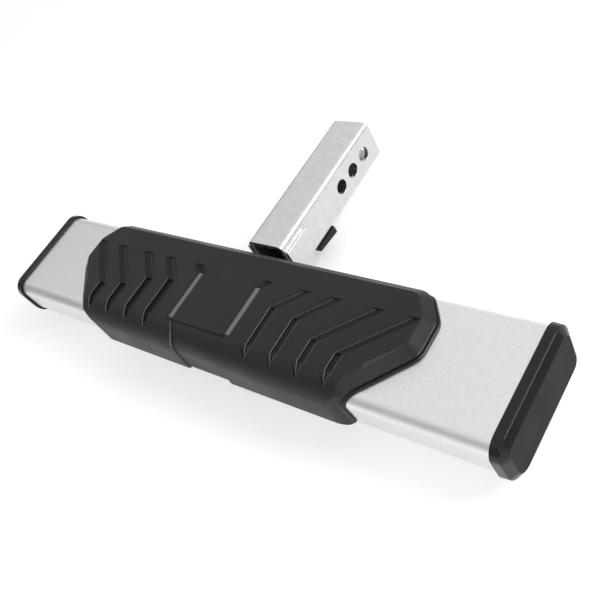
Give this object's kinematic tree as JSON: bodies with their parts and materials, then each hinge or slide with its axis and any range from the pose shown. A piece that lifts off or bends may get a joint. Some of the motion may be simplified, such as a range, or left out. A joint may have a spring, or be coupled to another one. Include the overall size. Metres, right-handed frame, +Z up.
{
  "type": "hitch receiver step",
  "caption": "Hitch receiver step: square shank with cross pin holes, side gussets and a hollow capped bar under a moulded black pad with chevron tread.",
  "frame": {"origin": "on the axis of the shank's middle pin hole, at the shank's centre line", "axes": "+X along the step bar and the pin holes, +Y along the shank into the vehicle's receiver, +Z up"},
  "size_m": [0.6858, 0.3325, 0.092],
  "materials": {
    "shank_steel": "satin zinc grey",
    "weld_steel": "satin zinc grey over rippled weld",
    "bar_steel": "satin stainless",
    "zinc_steel": "zinc plated",
    "cap_plastic": "moulded black, fine texture",
    "pad_plastic": "moulded black, fine texture",
    "clip_plastic": "moulded black",
    "stop_rubber": "matt black"
  },
  "bodies": {
    "root": {"hitch_tube": "shank_steel", "saddle_plate": "shank_steel", "gusset_left": "shank_steel", "gusset_right": "shank_steel", "weld_top_left": "weld_steel", "weld_top_right": "weld_steel", "weld_back_left": "weld_steel", "weld_back_right": "weld_steel", "weld_saddle_left": "weld_steel", "weld_saddle_right": "weld_steel", "step_bar": "bar_steel", "nut_plate_left": "zinc_steel", "nut_plate_right": "zinc_steel", "mount_bolt_1": "zinc_steel", "mount_bolt_2": "zinc_steel", "mount_bolt_3": "zinc_steel", "mount_bolt_4": "zinc_steel", "flat_washers": "zinc_steel", "end_cap_left": "cap_plastic", "end_cap_right": "cap_plastic", "step_pad": "pad_plastic", "pad_clip_1": "clip_plastic", "pad_clip_2": "clip_plastic", "pad_clip_3": "clip_plastic", "pad_clip_4": "clip_plastic", "pad_clip_5": "clip_plastic", "pad_clip_6": "clip_plastic", "pad_clip_7": "clip_plastic", "pad_clip_8": "clip_plastic", "stop_block": "stop_rubber"}
  },
  "joints": []
}
